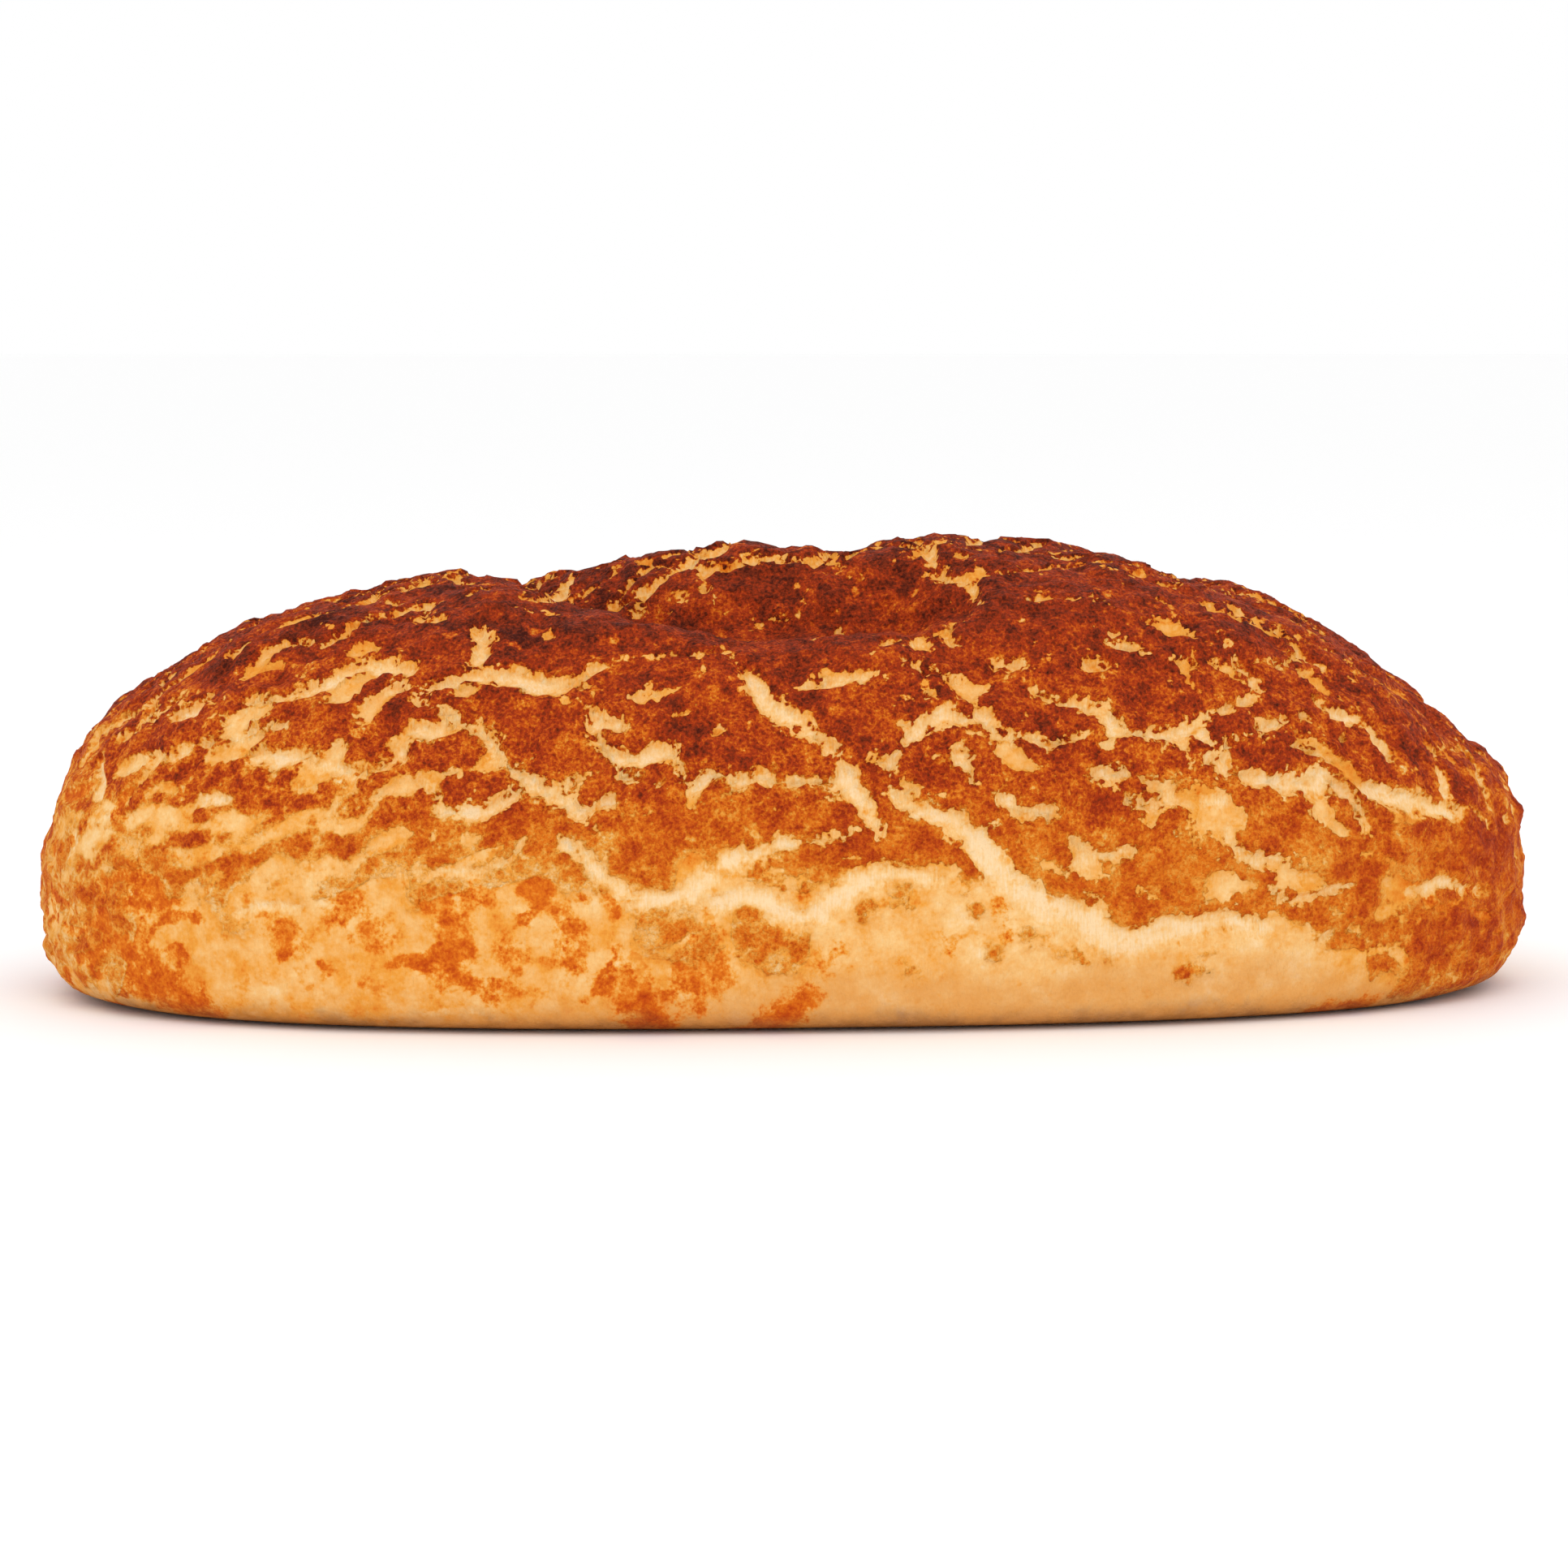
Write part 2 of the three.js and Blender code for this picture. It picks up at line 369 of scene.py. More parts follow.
def relaxed(points, quads):
    """The points, each drawn towards its neighbours, which takes the facets off the loaf."""
    starts = quads.ravel()
    ends = np.roll(quads, -1, axis=1).ravel()
    valence = np.bincount(starts, minlength=len(points))
    for _ in range(SMOOTHING_ROUNDS):
        for axis in range(3):
            around = np.bincount(starts, points[ends, axis], minlength=len(points)) / valence
            points[:, axis] += SMOOTHING_SHARE * (around - points[:, axis])
    return points


def fine_skin():
    """Points and quads of a fine smooth grid over the whole loaf, in millimetres."""
    tree = loaf_tree()
    low, high = (np.array(corner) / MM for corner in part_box(LOAF))
    lattice, quads = box_quads(SKIN_CELLS)
    side = 2 * lattice / np.array(SKIN_CELLS) - 1
    start = np.zeros(side.shape)
    start[:, 0] = AXIS_REACH * side[:, 0]
    start[:, 2] = AXIS_HEIGHT
    spread = np.tan(side * math.pi / 4)
    height = np.where(side[:, 2] > 0, high[2] - AXIS_HEIGHT, AXIS_HEIGHT - low[2])
    towards = np.stack([
        high[0] * side[:, 0],
        high[1] * spread[:, 1],
        AXIS_HEIGHT + height * spread[:, 2],
    ], 1)
    points = np.array([cast(tree, a, b) for a, b in zip(start, towards)])
    points = relaxed(points, quads)
    points[:, 2] = np.maximum(points[:, 2], 0)
    return points, quads


def normals_of(points, quads):
    """The outward direction at each point."""
    a, b, c, d = (points[quads[:, corner]] for corner in range(4))
    across = np.cross(c - a, d - b)
    corners = quads.ravel()
    sums = [np.bincount(corners, np.repeat(part, 4), minlength=len(points)) for part in across.T]
    total = np.stack(sums, 1)
    return total / np.linalg.norm(total, axis=1, keepdims=True)


def folded(points, quads):
    """The skin with its fold pressed in and a slight swell all over its upper part."""
    fold = np.maximum(distance_to(points, tree_of(points, quads), [FOLD]), 0)
    lift = SWELL_HEIGHT * wander(points, SWELL_SIZE, seed=6) * smooth(25, 65, points[:, 2])
    lift -= FOLD_DEPTH * np.exp(-((fold / FOLD_REACH) ** 2))
    return points + lift[:, None] * normals_of(points, quads)


# ---------------------------------------------------------------- places and distances


def smooth(low, high, value):
    """0 at low, 1 at high and beyond, and a smooth change between, whichever of the two is larger."""
    share = np.clip((value - low) / (high - low), 0, 1)
    return share * share * (3 - 2 * share)


def along(table, value):
    """The table's second column, read off at value in its first."""
    places, amounts = zip(*table)
    return np.interp(value, places, amounts)


def wander(points, size, seed):
    """Smooth noise from -1 to 1 over the points, with features of that size."""
    shift = Vector((seed * 17.3, seed * 5.1, seed * 9.7))
    return np.array([noise.noise(Vector(point) / size + shift) for point in points])


def tree_of(points, quads):
    """The skin as a search tree."""
    return BVHTree.FromPolygons(points.tolist(), quads.tolist())


def on_skin(tree, x, angle):
    """The point of the skin at a place on the loaf."""
    turn = math.radians(angle)
    start = Vector((x, 0, AXIS_HEIGHT))
    return np.array(cast(tree, start, start + Vector((0, -math.cos(turn), math.sin(turn)))))


def stepped(route):
    """The route's places with more between them, no further apart than ROUTE_STEP or so."""
    route = np.array(route, float)
    if len(route) == 1:
        return np.repeat(route, 2, axis=0)
    gaps = np.abs(np.diff(route[:, :2], axis=0)).sum(1)
    reach = np.concatenate([[0], np.cumsum(gaps)])
    steps = np.linspace(0, reach[-1], max(2, int(reach[-1] / ROUTE_STEP) + 1))
    return np.stack([np.interp(steps, reach, column) for column in route.T], 1)


def distance_to(points, tree, routes):
    """How far each point is outside the nearest route, in millimetres; below 0 inside one."""
    best = np.full(len(points), float(FAR))
    for route in routes:
        places = stepped(route)
        line = np.array([on_skin(tree, x, angle) for x, angle, _ in places])
        half = places[:, 2] / 2
        inside = (points > line.min(0) - NEARBY) & (points < line.max(0) + NEARBY)
        near = np.flatnonzero(np.all(inside, axis=1))
        for start, end, half_start, half_end in zip(line, line[1:], half, half[1:]):
            step = end - start
            offset = points[near] - start
            share = np.clip(offset @ step / max(step @ step, 1e-9), 0, 1)
            gap = np.linalg.norm(offset - share[:, None] * step, axis=1)
            gap -= half_start + share * (half_end - half_start)
            best[near] = np.minimum(best[near], gap)
    return best


def turned(routes):
    """The same routes on the other long side, shifted so that the two sides aren't copies."""
    def over(x, angle, width):
        new_x = -BACK_SQUEEZE[0] * x + BACK_SHIFT[0] * math.sin(x / BACK_WAVE[0])
        new_angle = 180 - BACK_SQUEEZE[1] * angle - BACK_SHIFT[1] * math.cos(x / BACK_WAVE[1])
        return new_x, new_angle, width

    return [[over(*place) for place in route] for route in routes]


class Skin:
    """The skin's points, and where on the loaf each one is."""

    def __init__(self, points, quads):
        self.points = points
        self.tree = tree_of(points, quads)
        self.x, self.y, self.z = points.T
        angle = np.degrees(np.arctan2(self.z - AXIS_HEIGHT, -self.y))
        self.angle = np.where(angle < -90, angle + 360, angle)
        self.rise = np.minimum(self.angle, 180 - self.angle)
        self.rear = smooth(-14, 14, self.y)

    def both(self, rule):
        """A rule of x for the front, and the same rule turned half round for the back."""
        return (1 - self.rear) * rule(self.x) + self.rear * rule(-self.x)

    def wander(self, size, seed):
        return wander(self.points, size, seed)

    def distance(self, routes):
        """How far each point is outside the nearest of these routes, on the front and on the back."""
        return distance_to(self.points, self.tree, routes + turned(routes))


# ---------------------------------------------------------------- where the crust is


def plate_spots(points, rng):
    """The middles of plates scattered over the loaf, no two of them close together."""
    spots = []
    for spot in points[rng.permutation(len(points))[:PLATE_TRIES]] * PLATE_STRETCH:
        room = rng.uniform(*PLATE_ROOM)
        if all(np.linalg.norm(spot - other) > room for other in spots):
            spots.append(spot)
    return np.array(spots)


def plate_seams(points):
    """How far each point is from the seams between the scattered plates, in millimetres."""
    spots = plate_spots(points, np.random.default_rng(PLATE_SEED))
    bent = points * PLATE_STRETCH
    for axis in range(3):
        bent[:, axis] += SEAM_BEND * wander(points, SEAM_BEND_SIZE, seed=20 + axis)
    nearest = np.empty(len(points))
    for chunk in np.array_split(np.arange(len(points)), SEAM_CHUNKS):
        squares = ((bent[chunk, None] - spots[None]) ** 2).sum(2)
        pair = np.argpartition(squares, 1, axis=1)[:, :2]
        first, second = (np.take_along_axis(squares, pair[:, [n]], 1)[:, 0] for n in (0, 1))
        apart = np.linalg.norm(spots[pair[:, 0]] - spots[pair[:, 1]], axis=1)
        nearest[chunk] = np.abs(second - first) / (2 * apart)
    return nearest


def crack_edge(skin):
    """How far each point is outside the drawn cracks and the open seams, in millimetres."""
    drawn = skin.distance(CRACKS)
    undrawn = np.maximum(smooth(56, 84, skin.angle), 0.5 * smooth(115, 135, np.abs(skin.x)))
    opening = 0.6 + 1.3 * skin.wander(17, seed=2)
    closing = 1.1 - 2.4 * skin.wander(23, seed=8)
    seam_width = undrawn * opening - (1 - undrawn) * closing
    return np.minimum(drawn, plate_seams(skin.points) - seam_width)


def streak_edge(skin):
    """How far each point is inside the streaks that the crust breaks into, in millimetres."""
    cover = skin.both(lambda at: along(STREAK_COVER, at)) + STREAK_CROWN * smooth(38, 62, skin.z)
    tilt = np.radians(np.where(skin.x < 0, STREAK_RISE, -STREAK_RISE))
    length = skin.x * np.cos(tilt) + skin.z * np.sin(tilt)
    across = skin.z * np.cos(tilt) - skin.x * np.sin(tilt) + STREAK_BEND * skin.wander(13, seed=11)
    streaks = wander(np.stack([length, across, skin.y], 1) / STREAK_SIZE, 1, seed=5)
    return STREAK_EDGE * (streaks + cover)


def above_foot(skin):
    """How far each point is above the crust's lower edge, in millimetres or so."""
    above = skin.both(lambda at: ARC_PER_DEGREE * (skin.rise - along(CRUST_FLOOR, at)))
    loose = skin.both(lambda at: np.maximum(smooth(20, -20, at), smooth(85, 110, at)))
    above += loose * (8 * skin.wander(12, seed=1) + 5 * skin.wander(6, seed=4))
    return above


def thinness(skin, above):
    """Where the crust is thin and soft-edged: low at the left, at the right end and past its own foot."""
    thin = skin.both(lambda at: smooth(-55, -100, at)) * smooth(66, 34, skin.z)
    thin = np.maximum(thin, 0.8 * smooth(14, 2, above) * skin.both(lambda at: smooth(10, -30, at)))
    thin = np.maximum(thin, 0.45 * skin.both(lambda at: smooth(90, 130, at)))
    return np.maximum(thin, 0.7 * smooth(2, -2, above))


def toasting(skin, above):
    """How toasted the crust and the dough's skin are at each point."""
    # The scorch routes darken the scorched ridges, and paint shade along the near lobe's crest by the fold.
    scorch_and_crest_shade = smooth(7, -3, skin.distance(SCORCHES_AND_CREST_SHADE))
    crust = along(CRUST_TOAST, skin.z) + 0.08 * scorch_and_crest_shade + 0.10 * skin.both(lambda at: smooth(95, 130, at))
    crust -= 0.10 * smooth(16, 0, above) * skin.both(lambda at: smooth(0, -40, at))
    dough = skin.both(lambda at: along(DOUGH_TOAST, at))
    dough -= 0.09 * smooth(-2, 8, above) * skin.both(lambda at: smooth(-20, -60, at))
    return crust, dough


def browning(skin, above):
    """How browned the bare dough is: in the drawn blotches, and in patches at the ends and low down."""
    blush = np.zeros(len(skin.points))
    for route, amount in BLUSHES:
        blush = np.maximum(blush, amount * smooth(4, -3, skin.distance([route])))
    patches = smooth(0.10, 0.30, skin.wander(8, seed=7) + 0.5 * skin.wander(4, seed=9))
    ends = 0.9 * smooth(105, 140, np.abs(skin.x))
    lower = smooth(6, -4, above) * smooth(-32, -12, skin.rise) * skin.both(lambda at: smooth(30, -40, at))
    return np.maximum(blush, patches * np.maximum(ends, 0.8 * lower))


def loaf_fields(points, quads):
    """What the skin's surface is at each point: distances in millimetres, and shares from 0 to 1."""
    skin = Skin(points, quads)
    above = above_foot(skin)
    cracks = crack_edge(skin)
    crusted = np.maximum(above, -skin.distance(ISLANDS))
    edge = np.minimum(crusted, np.minimum(cracks, streak_edge(skin)))
    crust_toast, dough_toast = toasting(skin, above)
    above_tan = skin.rise - skin.both(lambda at: along(TAN_LINE, at)) + 2.5 * skin.wander(9, seed=3)
    return {
        "crust_edge": np.clip(edge, -FIELD_REACH, FIELD_REACH),
        "crust_toast": crust_toast,
        "dough_toast": dough_toast,
        "tear": np.clip(cracks, -FIELD_REACH, FIELD_REACH),
        "blush": browning(skin, above),
        "thin": thinness(skin, above),
        "tan": smooth(2, -5, above_tan),
        "sole": smooth(2.5, 0.4, skin.z) * smooth(24, 36, -skin.rise),
    }


# ---------------------------------------------------------------- nodes


class Wiring:
    """Adds nodes to a tree; an input is a number or another node's output."""

    def __init__(self, tree):
        self.tree = tree

    def join(self, value, socket):
        if isinstance(value, bpy.types.NodeSocket):
            self.tree.links.new(value, socket)
        else:
            socket.default_value = value

    def add(self, kind, inputs=None, **settings):
        node = self.tree.nodes.new(kind)
        for name, value in settings.items():
            setattr(node, name, value)
        for key, value in (inputs or {}).items():
            self.join(value, node.inputs[key])
        return node

    def math(self, operation, *values, clamp=False):
        node = self.add("ShaderNodeMath", dict(enumerate(values)), operation=operation, use_clamp=clamp)
        return node.outputs[0]

    def product(self, first, *others, clamp=False):
        for other in others:
            first = self.math("MULTIPLY", first, other, clamp=clamp)
        return first

    def total(self, first, *terms):
        """first plus each (value, amount) of the terms."""
        for value, amount in terms:
            first = self.math("MULTIPLY_ADD", value, amount, first)
        return first

    def toward(self, share, first, second):
        """From first to second, by that share."""
        return self.math("MULTIPLY_ADD", self.math("SUBTRACT", second, first), share, first)

    def rise(self, value, low, high, start=0.0, end=1.0):
        """From start to end, smoothly, as value goes from low to high."""
        inputs = {0: value, 1: low, 2: high, 3: start, 4: end}
        return self.add("ShaderNodeMapRange", inputs, interpolation_type="SMOOTHSTEP").outputs[0]

    def scaled(self, vector, amounts):
        inputs = {0: vector, 1: amounts}
        return self.add("ShaderNodeVectorMath", inputs, operation="MULTIPLY").outputs[0]

    def height(self, position):
        return self.add("ShaderNodeSeparateXYZ", {0: position}).outputs[2]

    def grain(self, position, name):
        """One of the grains, as noise about 0 that is mostly within a quarter each way."""
        size, seed, detail, roughness = GRAINS[name]
        inputs = {"Vector": position, "W": seed, "Scale": 1 / size, "Detail": detail, "Roughness": roughness}
        node = self.add("ShaderNodeTexNoise", inputs, noise_dimensions="4D")
        return self.math("SUBTRACT", node.outputs[0], 0.5)

    def blend(self, share, first, second):
        node = self.add("ShaderNodeMix", {0: share, 6: first, 7: second}, data_type="RGBA")
        return node.outputs[2]

    def field(self, name):
        """One of the skin's own fields."""
        if self.tree.bl_idname == "GeometryNodeTree":
            node = self.add("GeometryNodeInputNamedAttribute", {"Name": name}, data_type="FLOAT")
            return node.outputs[0]
        return self.add("ShaderNodeAttribute", attribute_name=name).outputs["Fac"]


def torn_edges(wires, position):
    """How far inside the crust, and how far outside the cracks, a point is once their edges are ragged."""
    rip = wires.grain(position, "rip")
    fray = wires.grain(position, "fray")
    crust = wires.total(wires.field("crust_edge"), (rip, TEAR_DEPTH), (fray, FRAY_DEPTH))
    dough = wires.total(wires.field("tear"), (rip, CRACK_RAGS * TEAR_DEPTH), (fray, CRACK_RAGS * FRAY_DEPTH))
    return crust, dough


def linear(colour):
    """A display colour of 0 to 255 as the linear one that nodes use."""
    def channel(value):
        share = value / 255
        return share / 12.92 if share <= 0.04045 else ((share + 0.055) / 1.055) ** 2.4

    return (*(channel(value) for value in colour), 1.0)


# ---------------------------------------------------------------- the crust's relief


def relief_sockets(tree):
    """The relief tree's named inputs, and its one output."""
    tree.interface.new_socket("Geometry", in_out="INPUT", socket_type="NodeSocketGeometry")
    for name, value in RELIEF.items():
        socket = tree.interface.new_socket(name, in_out="INPUT", socket_type="NodeSocketFloat")
        socket.default_value = value
    tree.interface.new_socket("Material", in_out="INPUT", socket_type="NodeSocketMaterial")
    tree.interface.new_socket("Geometry", in_out="OUTPUT", socket_type="NodeSocketGeometry")


def surface_lift(wires, given):
    """How far the surface moves outwards, in millimetres; it doesn't move where the loaf stands."""
    position = wires.scaled(wires.add("GeometryNodeInputPosition").outputs[0], TO_MM)
    height = wires.height(position)
    edge, dough_edge = torn_edges(wires, position)
    plate = wires.rise(edge, -1.2, 0.7)
    lip = wires.product(plate, wires.rise(edge, 0.6, 3.2, 1.0, 0.0))
    blister = wires.product(wires.grain(position, "blister"), given["Blister Height"])
    pebble = wires.product(wires.grain(position, "pebble"), given["Pebble Height"])
    lift = wires.product(wires.math("SUBTRACT", plate, 1.0), given["Plate Height"])
    lift = wires.total(lift, (lip, given["Lip Height"]))
    lift = wires.product(lift, wires.rise(wires.field("thin"), 0.0, 1.0, 1.0, THIN_PLATE_SHARE))
    lift = wires.product(lift, wires.rise(height, *LOW_PLATES, LOW_PLATE_SHARE, 1.0))
    lift = wires.total(lift, (wires.rise(dough_edge, -0.8, 0.5, -1.0, 0.0), given["Dough Skin"]))
    lift = wires.total(lift, (wires.rise(edge, -1.0, 2.0, 0.3, 1.0), wires.math("ADD", blister, pebble)))
    return wires.product(lift, wires.rise(height, 0.5, 9.0))


def relief_tree():
    """A tree that sinks the cracks, lifts the plates' torn lips and blisters the crust."""
    tree = bpy.data.node_groups.new("crust relief", "GeometryNodeTree")
    relief_sockets(tree)
    wires = Wiring(tree)
    given = wires.add("NodeGroupInput").outputs
    lift = surface_lift(wires, given)
    normal = wires.add("GeometryNodeInputNormal").outputs[0]
    move = wires.add("ShaderNodeVectorMath", {0: normal, "Scale": lift}, operation="SCALE").outputs[0]
    move = wires.scaled(move, (MM, MM, MM))
    geometry = given["Geometry"]
    for kind, extra in (
        ("GeometryNodeSetPosition", {"Offset": move}),
        ("GeometryNodeSetShadeSmooth", {}),
        ("GeometryNodeRealizeInstances", {}),
        ("GeometryNodeSetMaterial", {"Material": given["Material"]}),
    ):
        geometry = wires.add(kind, {"Geometry": geometry, **extra}).outputs[0]
    wires.add("NodeGroupOutput", {"Geometry": geometry})
    return tree


def with_relief(loaf, crust):
    """Runs the relief tree on the loaf and keeps its result as a plain mesh."""
    tree = relief_tree()
    modifier = loaf.modifiers.new("crust relief", "NODES")
    modifier.node_group = tree
    sockets = {s.name: s.identifier for s in tree.interface.items_tree if s.in_out == "INPUT"}
    for name, value in {**RELIEF, "Material": crust}.items():
        modifier[sockets[name]] = value
    evaluated = loaf.evaluated_get(bpy.context.evaluated_depsgraph_get())
    mesh = bpy.data.meshes.new_from_object(evaluated)
    loaf.modifiers.remove(modifier)
    loaf.data = mesh


# ---------------------------------------------------------------- the crust's colours


def crust_tone(wires, grain, edge, height, thin):
    """How toasted the crust is: grainier towards the crown, and paler along its thin torn edges."""
    fringe = wires.rise(wires.total(edge, (grain["mottle"], 4.0)), 0.2, 2.6, 1.0, 0.0)
    pale_flecks = wires.rise(grain["fleck"], 0.1, 0.2)
    return wires.total(
        wires.field("crust_toast"),
        (grain["blotch"], 0.50),
        (grain["patch"], 0.40),
        (grain["mottle"], wires.rise(height, *CALM_CRUST, 0.50, 0.70)),
        (grain["speckle"], wires.rise(height, *CALM_CRUST, 0.45, 0.90)),
        (pale_flecks, wires.rise(height, *CALM_CRUST, -0.15, -0.32)),
        (fringe, wires.total(-0.04, (thin, -0.12))),
    )


def dough_tone(wires, grain, edge, raw, raw_toast):
    """How toasted the bare dough is before it browns: stringy where it is raw, stained on its skin."""
    skin_toast = wires.math("MAXIMUM", wires.field("dough_toast"), raw_toast)
    return wires.total(
        wires.toward(raw, skin_toast, raw_toast),
        (grain["cloud"], wires.rise(raw, 0.0, 1.0, 0.60, 0.25)),
        (grain["strand"], wires.rise(raw, 0.0, 1.0, 0.04, 0.28)),
        (grain["mottle"], 0.20),
        (grain["speckle"], 0.15),
        (wires.rise(edge, -2.0, 0.1), 0.06),
        (wires.rise(grain["stain"], 0.07, 0.2), 0.13),
    )


def browned_dough(wires, grain, dough, raw):
    """The dough's tone with its browned blotches, and where those are."""
    blush = wires.field("blush")
    ragged = wires.total(
        blush,
        (grain["cloud"], 1.6),
        (grain["mottle"], 1.2),
        (grain["speckle"], 0.6),
        (raw, -0.35),
    )
    browned = wires.rise(ragged, 0.28, 0.78)
    brown = wires.total(0.34, (blush, 0.17), (grain["mottle"], 0.5), (grain["speckle"], 0.4))
    return wires.toward(browned, dough, wires.math("MAXIMUM", brown, dough)), browned


def toast_colour(wires, toast):
    """The colour of something that is that toasted."""
    ramp = wires.add("ShaderNodeValToRGB", {0: toast})
    stops = ramp.color_ramp.elements
    while len(stops) < len(TOAST_COLOURS):
        stops.new(0.5)
    for stop, (where, colour) in zip(stops, TOAST_COLOURS):
        stop.position = where
        stop.color = linear(colour)
    return ramp.outputs[0]


def with_tan(wires, grain, colour, cover, browned):
    """The colour with a tan wash on the bare dough of the lower flank."""
    bare = wires.product(wires.math("SUBTRACT", 1.0, cover), wires.math("SUBTRACT", 1.0, browned))
    wash = wires.product(wires.field("tan"), bare)
    wash = wires.product(wash, wires.total(0.7, (grain["cloud"], 1.2)), clamp=True)
    return wires.blend(wash, colour, linear(TAN))


def with_sole(wires, grain, colour, height):
    """The colour with the baked sole, and a brown foot line that is part bake, part painted shade."""
    # The lowest millimetres darken: part tray bake, part painted shade where the loaf meets the floor.
    foot_bake_and_shade = wires.rise(wires.total(height, (grain["cloud"], 8.0)), 0.5, 6.0, 0.7, 0.0)
    tone = wires.rise(wires.math("ADD", grain["blotch"], grain["mottle"]), -0.25, 0.2)
    sole = wires.blend(tone, linear(SOLE_LIGHT), linear(SOLE_DARK))
    return wires.blend(wires.math("MAXIMUM", foot_bake_and_shade, wires.field("sole")), colour, sole)


def with_specks(wires, colour, position):
    """The colour with a few charred specks."""
    dot = wires.add("ShaderNodeTexVoronoi", {"Vector": position, "Scale": 1 / SPECK_SPACING})
    speck = wires.rise(dot.outputs["Distance"], 0.012, 0.022, 0.8, 0.0)
    return wires.blend(speck, colour, linear(CHAR))


def fine_bumps(wires, grain, cover):
    """The normal of the crust's sandy grain and the dough's crumb."""
    relief = wires.total(
        wires.product(cover, 0.45),
        (wires.product(grain["speckle"], cover), 1.2),
        (wires.product(grain["mottle"], cover), 1.8),
        (grain["crumb"], 0.25),
        (grain["pore"], 0.3),
        (grain["strand"], 0.4),
    )
    bump = wires.add("ShaderNodeBump", {"Height": relief, "Distance": MM, "Strength": BUMP_STRENGTH})
    return bump.outputs[0]


def crust_material():
    """Rust-brown rice paste over golden and cream dough, with a tan foot and a baked sole."""
    material = bpy.data.materials.new("tiger crust")
    material.use_nodes = True
    shader = material.node_tree.nodes["Principled BSDF"]
    shader.inputs["Specular IOR Level"].default_value = LOAF_SPECULAR

    wires = Wiring(material.node_tree)
    position = wires.scaled(wires.add("ShaderNodeTexCoord").outputs["Object"], TO_MM)
    height = wires.height(position)
    names = ("blotch", "mottle", "speckle", "fleck", "cloud", "crumb", "pore", "stain", "patch")
    grain = {name: wires.grain(position, name) for name in names}
    grain["strand"] = wires.grain(wires.scaled(position, STRAND_SQUEEZE), "strand")

    edge, dough_edge = torn_edges(wires, position)
    thin = wires.field("thin")
    cover = wires.rise(edge, wires.total(-0.1, (thin, -0.4)), wires.total(0.35, (thin, 0.9)))
    raw = wires.rise(dough_edge, -0.1, 0.7, 1.0, 0.0)
    higher = wires.rise(height, 45, 85, 0.0, 0.08)
    raw_toast = wires.math("ADD", wires.rise(dough_edge, -2.0, 0.6, 0.03, 0.17), higher)

    crust = crust_tone(wires, grain, edge, height, thin)
    dough = dough_tone(wires, grain, edge, raw, raw_toast)
    dough, browned = browned_dough(wires, grain, dough, raw)
    colour = toast_colour(wires, wires.toward(cover, dough, crust))
    colour = with_tan(wires, grain, colour, cover, browned)
    colour = with_sole(wires, grain, colour, height)
    colour = with_specks(wires, colour, position)
    wires.join(colour, shader.inputs["Base Color"])

    matt = wires.rise(cover, 0.0, 1.0, DOUGH_ROUGHNESS, CRUST_ROUGHNESS)
    matt = wires.total(matt, (grain["speckle"], 0.3), (grain["mottle"], 0.2))
    wires.join(matt, shader.inputs["Roughness"])
    wires.join(fine_bumps(wires, grain, cover), shader.inputs["Normal"])
    return material


# ---------------------------------------------------------------- the loaf


def make_loaf():
    """The finished loaf, a single piece that stands for the CAD loaf."""
    points, quads = fine_skin()
    points = folded(points, quads)
    fields = loaf_fields(points, quads)
    mesh = bpy.data.meshes.new("loaf")
    mesh.from_pydata((points * MM).tolist(), [], quads.tolist())
    for name, values in fields.items():
        mesh.attributes.new(name, "FLOAT", "POINT").data.foreach_set("value", values.astype(np.float32))
    loaf = bpy.data.objects.new("loaf", mesh)
    bpy.context.scene.collection.objects.link(loaf)
    with_relief(loaf, crust_material())
    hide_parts(LOAF)
    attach(loaf, "root")


# ---------------------------------------------------------------- the stage


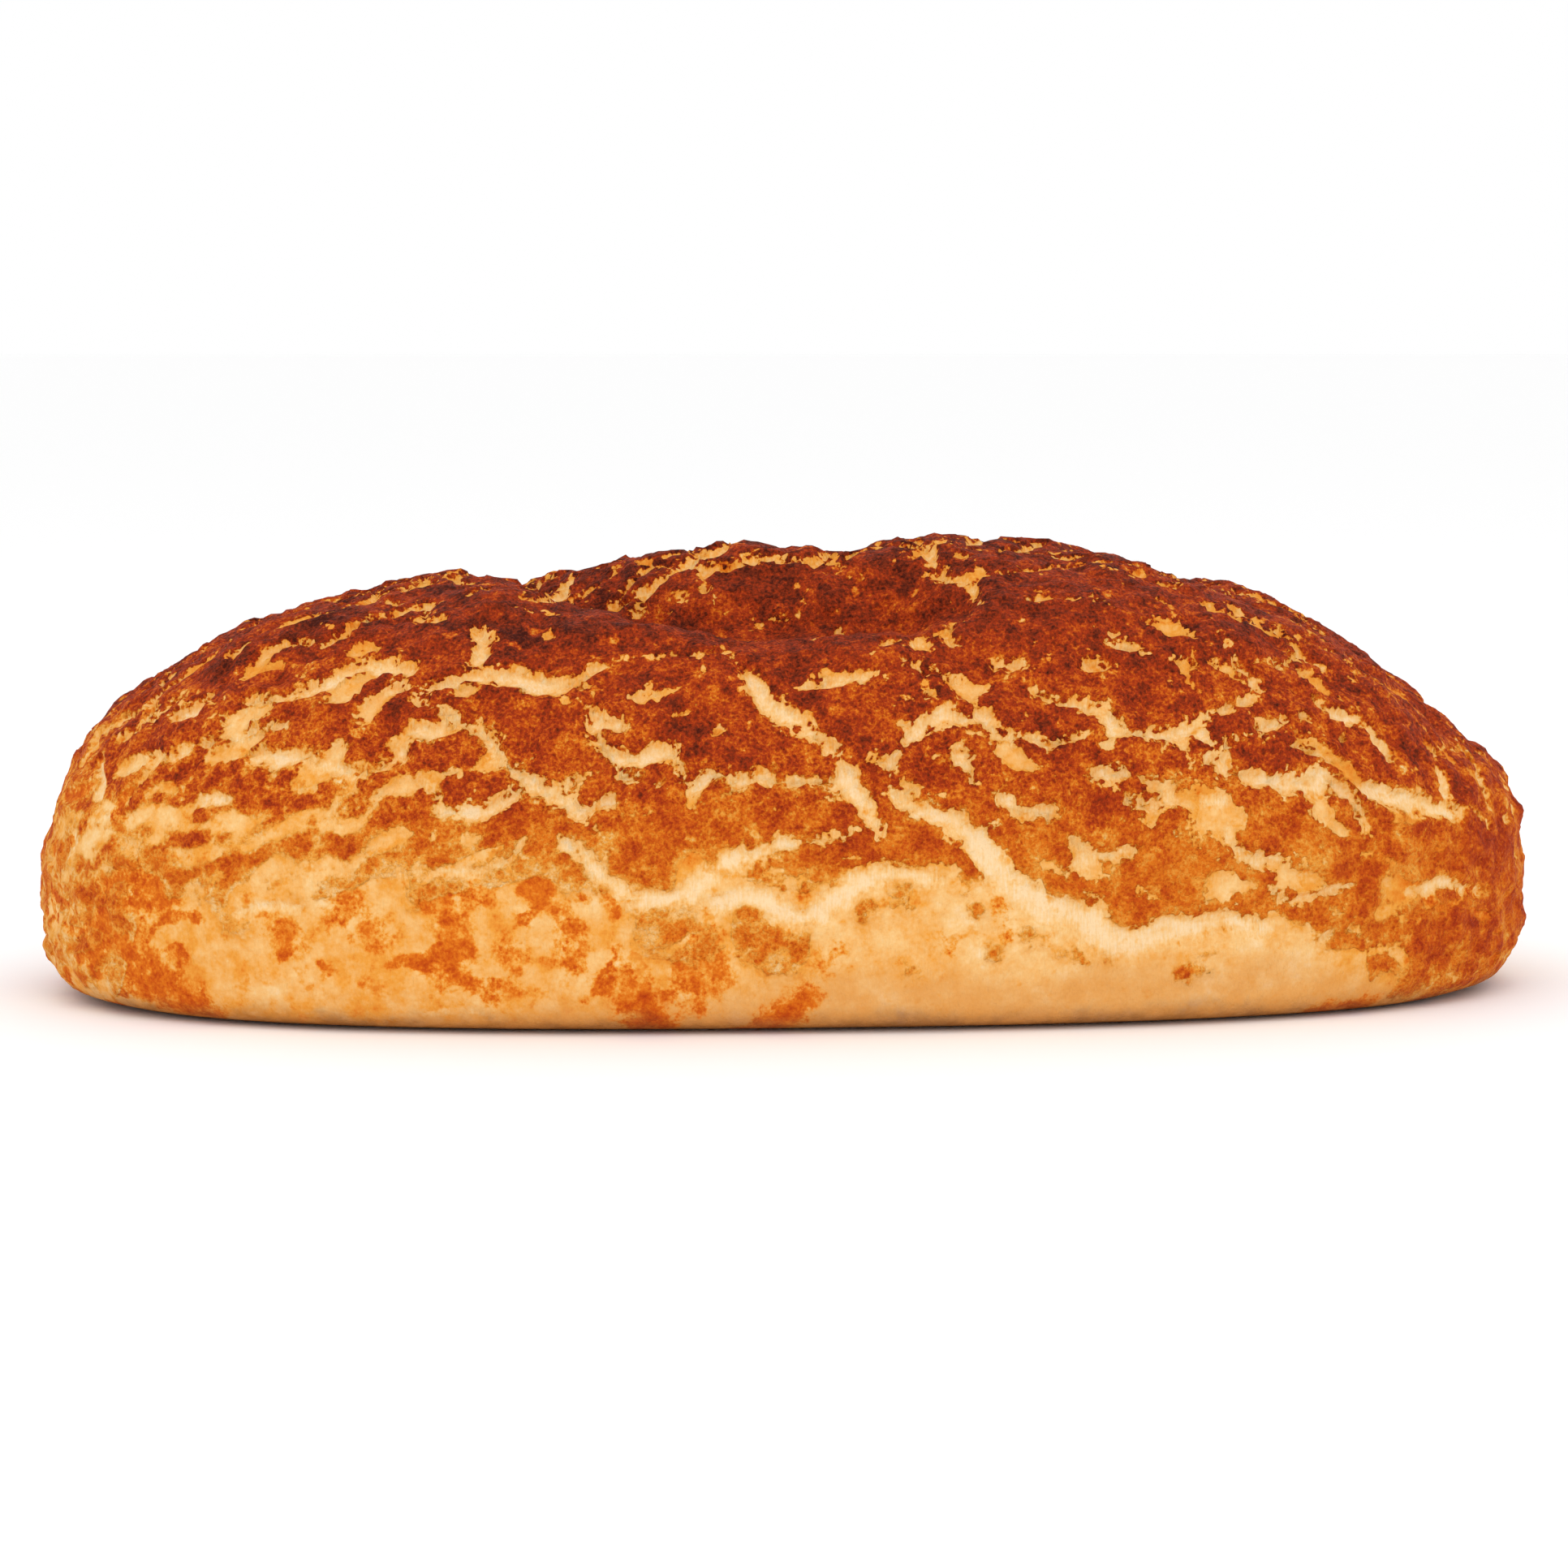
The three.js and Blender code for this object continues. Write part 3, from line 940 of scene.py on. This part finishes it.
def make_floor():
    half = FLOOR_SIZE / 2
    corners = [(-half, -half, 0), (half, -half, 0), (half, half, 0), (-half, half, 0)]
    mesh = bpy.data.meshes.new("floor")
    mesh.from_pydata(corners, [], [(0, 1, 2, 3)])
    floor = bpy.data.objects.new("floor", mesh)
    material = bpy.data.materials.new("pale floor")
    material.use_nodes = True
    shader = material.node_tree.nodes["Principled BSDF"]
    shader.inputs["Base Color"].default_value = (FLOOR_WHITE, FLOOR_WHITE, FLOOR_WHITE, 1)
    shader.inputs["Roughness"].default_value = FLOOR_ROUGHNESS
    shader.inputs["Specular IOR Level"].default_value = FLOOR_SPECULAR
    mesh.materials.append(material)
    bpy.context.scene.collection.objects.link(floor)


def make_softbox():
    """A large square light above and in front of the loaf, turned to face it."""
    data = bpy.data.lights.new("overhead softbox", "AREA")
    data.size = SOFTBOX_SIZE
    data.energy = SOFTBOX_WATTS
    light = bpy.data.objects.new("overhead softbox", data)
    light.location = SOFTBOX_PLACE
    light.rotation_euler = (CAMERA_AIM - light.location).to_track_quat("-Z", "Y").to_euler()
    bpy.context.scene.collection.objects.link(light)


def make_studio():
    """Even white light from all round, shown without a film look."""
    world = bpy.data.worlds.new("studio")
    world.use_nodes = True
    world.node_tree.nodes["Background"].inputs["Color"].default_value = (1, 1, 1, 1)
    world.node_tree.nodes["Background"].inputs["Strength"].default_value = STUDIO_LIGHT
    bpy.context.scene.world = world
    bpy.context.scene.view_settings.view_transform = "Standard"


def make_camera():
    azimuth = math.radians(CAMERA_AZIMUTH)
    elevation = math.radians(CAMERA_ELEVATION)
    flat = math.cos(elevation)
    away = Vector((math.sin(azimuth) * flat, -math.cos(azimuth) * flat, math.sin(elevation)))
    data = bpy.data.cameras.new("camera")
    data.lens = CAMERA_LENS
    camera = bpy.data.objects.new("camera", data)
    camera.location = CAMERA_AIM + away * CAMERA_DISTANCE
    camera.rotation_euler = away.to_track_quat("Z", "Y").to_euler()
    bpy.context.scene.collection.objects.link(camera)
    bpy.context.scene.camera = camera


make_camera()
make_loaf()
make_floor()
make_softbox()
make_studio()
